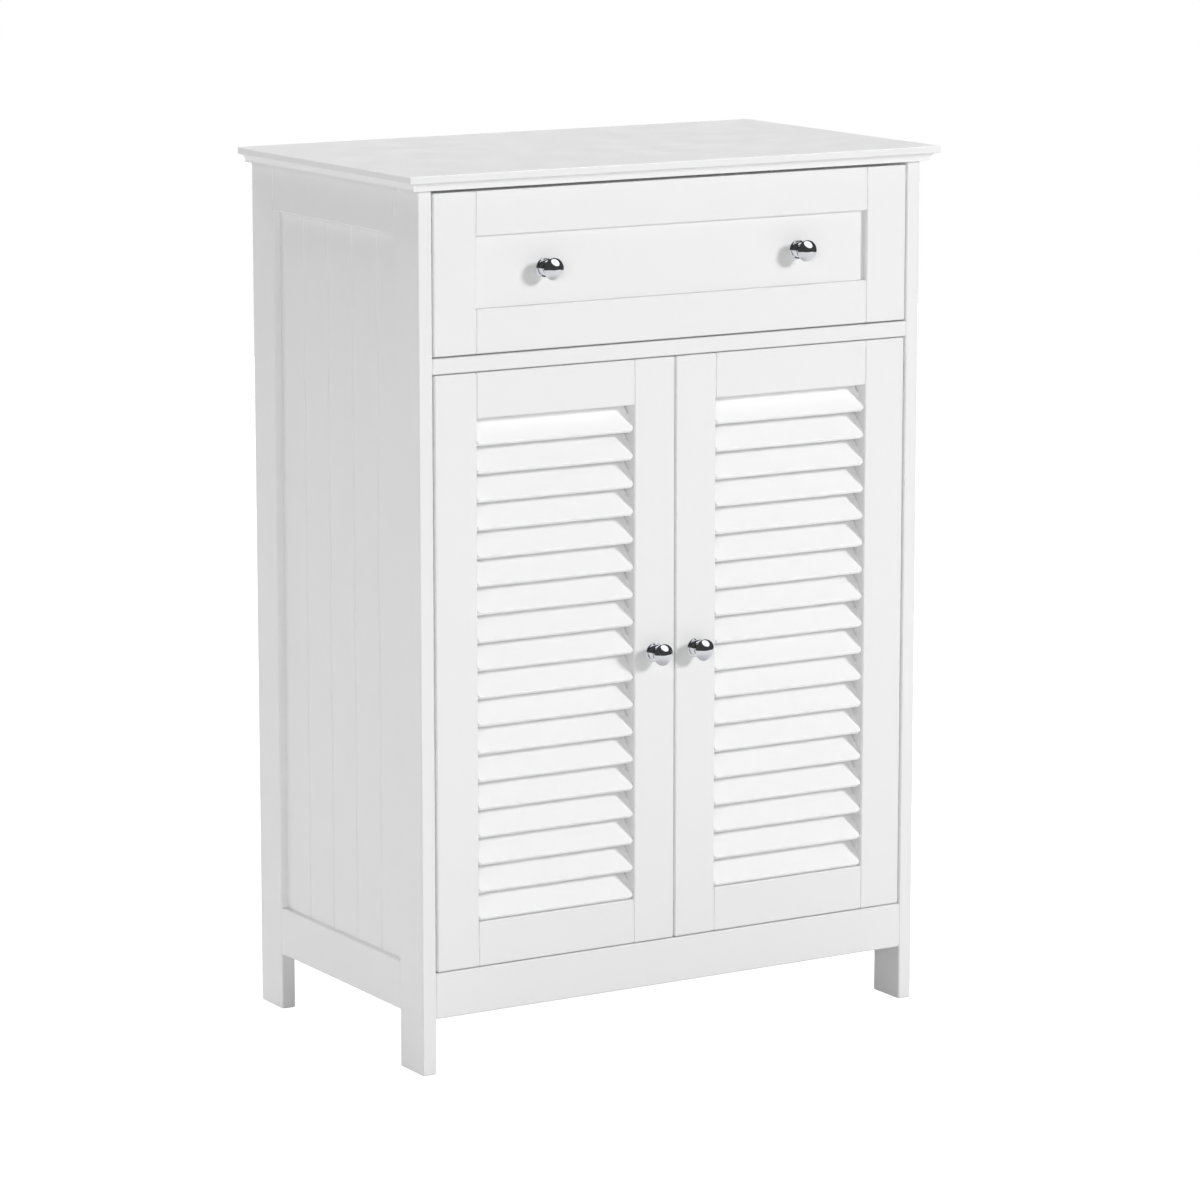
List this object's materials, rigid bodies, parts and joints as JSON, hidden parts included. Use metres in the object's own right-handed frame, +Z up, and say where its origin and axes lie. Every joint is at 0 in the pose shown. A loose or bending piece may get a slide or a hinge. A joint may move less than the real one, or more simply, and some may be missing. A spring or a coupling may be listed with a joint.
{
  "type": "louvred door cabinet",
  "caption": "White free-standing cabinet with a full-width drawer over a pair of inset louvred doors, panelled sides and round chrome knobs.",
  "frame": {"origin": "on the floor, at the middle of the width and half-way between the tips of the door knobs and the back of the top", "axes": "+X to the right seen from the front, +Y to the back, +Z up; the doors and drawer face -Y"},
  "size_m": [0.6, 0.36, 0.87],
  "materials": {
    "white_paint": "satin white paint on fibreboard",
    "white_hardboard": "white-faced hardboard, matt",
    "polished_chrome": "polished chrome plate",
    "white_steel": "white epoxy on steel sheet",
    "nickel_steel": "nickel-plated steel",
    "zinc_steel": "zinc-plated steel",
    "zinc_alloy": "bare cast zinc alloy",
    "nylon": "natural nylon",
    "white_plastic": "moulded white plastic",
    "beech": "fluted beech dowel"
  },
  "bodies": {
    "cabinet": {"top_board": "white_paint", "left_front_leg": "white_paint", "left_rear_leg": "white_paint", "left_side_top_rail": "white_paint", "left_side_bottom_rail": "white_paint", "left_side_panel": "white_paint", "right_front_leg": "white_paint", "right_rear_leg": "white_paint", "right_side_top_rail": "white_paint", "right_side_bottom_rail": "white_paint", "right_side_panel": "white_paint", "divider_panel": "white_paint", "bottom_panel": "white_paint", "front_apron": "white_paint", "back_panel": "white_hardboard", "shelf": "white_paint", "shelf_pins": "nickel_steel", "cam_locks": "zinc_alloy", "cam_bolts": "zinc_steel", "dowels": "beech", "fixing_screws": "zinc_steel", "cabinet_runners": "white_steel", "hinge_plates": "nickel_steel", "hinge_arms": "nickel_steel", "door_catch": "white_plastic"},
    "cabinet_rollers": {"cabinet_rollers": "nylon"},
    "drawer": {"drawer_left_stile": "white_paint", "drawer_right_stile": "white_paint", "drawer_top_rail": "white_paint", "drawer_bottom_rail": "white_paint", "drawer_front_panel": "white_paint", "drawer_left_side": "white_paint", "drawer_right_side": "white_paint", "drawer_back": "white_paint", "drawer_bottom": "white_hardboard", "drawer_runners": "white_steel", "drawer_knobs": "polished_chrome", "drawer_knob_bolts": "zinc_steel"},
    "drawer_rollers": {"drawer_rollers": "nylon"},
    "left_link": {"left_hinge_links": "nickel_steel"},
    "left_door": {"left_door_outer_stile": "white_paint", "left_door_inner_stile": "white_paint", "left_door_top_rail": "white_paint", "left_door_bottom_rail": "white_paint", "left_door_slats": "white_paint", "left_door_hinge_cups": "nickel_steel", "left_door_catch_plate": "nickel_steel", "left_door_knob": "polished_chrome", "left_door_knob_bolt": "zinc_steel"},
    "right_link": {"right_hinge_links": "nickel_steel"},
    "right_door": {"right_door_outer_stile": "white_paint", "right_door_inner_stile": "white_paint", "right_door_top_rail": "white_paint", "right_door_bottom_rail": "white_paint", "right_door_slats": "white_paint", "right_door_hinge_cups": "nickel_steel", "right_door_catch_plate": "nickel_steel", "right_door_knob": "polished_chrome", "right_door_knob_bolt": "zinc_steel"}
  },
  "joints": [
    {"name": "drawer_slide", "type": "slide", "parent": "cabinet", "child": "drawer", "axis": [0, -1, 0], "range_m": [0, 0.22]},
    {"name": "cabinet_rollers_turn", "type": "hinge", "parent": "cabinet", "child": "cabinet_rollers", "pos_m": [0, -0.128, 0.7123], "axis": [1, 0, 0], "range_deg": [0, 1802]},
    {"name": "drawer_rollers_turn", "type": "hinge", "parent": "drawer", "child": "drawer_rollers", "pos_m": [0, 0.149, 0.7123], "axis": [1, 0, 0], "range_deg": [0, 1802]},
    {"name": "left_link_swing", "type": "hinge", "parent": "cabinet", "child": "left_link", "pos_m": [-0.2458, -0.1305, 0.3904], "axis": [0, 0, 1], "range_deg": [0, 38]},
    {"name": "left_door_swing", "type": "hinge", "parent": "left_link", "child": "left_door", "pos_m": [-0.2583, -0.1435, 0.3904], "axis": [0, 0, -1], "range_deg": [0, 133]},
    {"name": "right_link_swing", "type": "hinge", "parent": "cabinet", "child": "right_link", "pos_m": [0.2458, -0.1305, 0.3904], "axis": [0, 0, -1], "range_deg": [0, 38]},
    {"name": "right_door_swing", "type": "hinge", "parent": "right_link", "child": "right_door", "pos_m": [0.2583, -0.1435, 0.3904], "axis": [0, 0, 1], "range_deg": [0, 133]}
  ],
  "couplings": [
    {"joint": "cabinet_rollers_turn", "follows": "drawer_slide", "rad_per_m": 142.86},
    {"joint": "drawer_rollers_turn", "follows": "drawer_slide", "rad_per_m": 142.86},
    {"joint": "left_link_swing", "follows": "left_door_swing", "ratio": 0.2857},
    {"joint": "right_link_swing", "follows": "right_door_swing", "ratio": 0.2857}
  ]
}
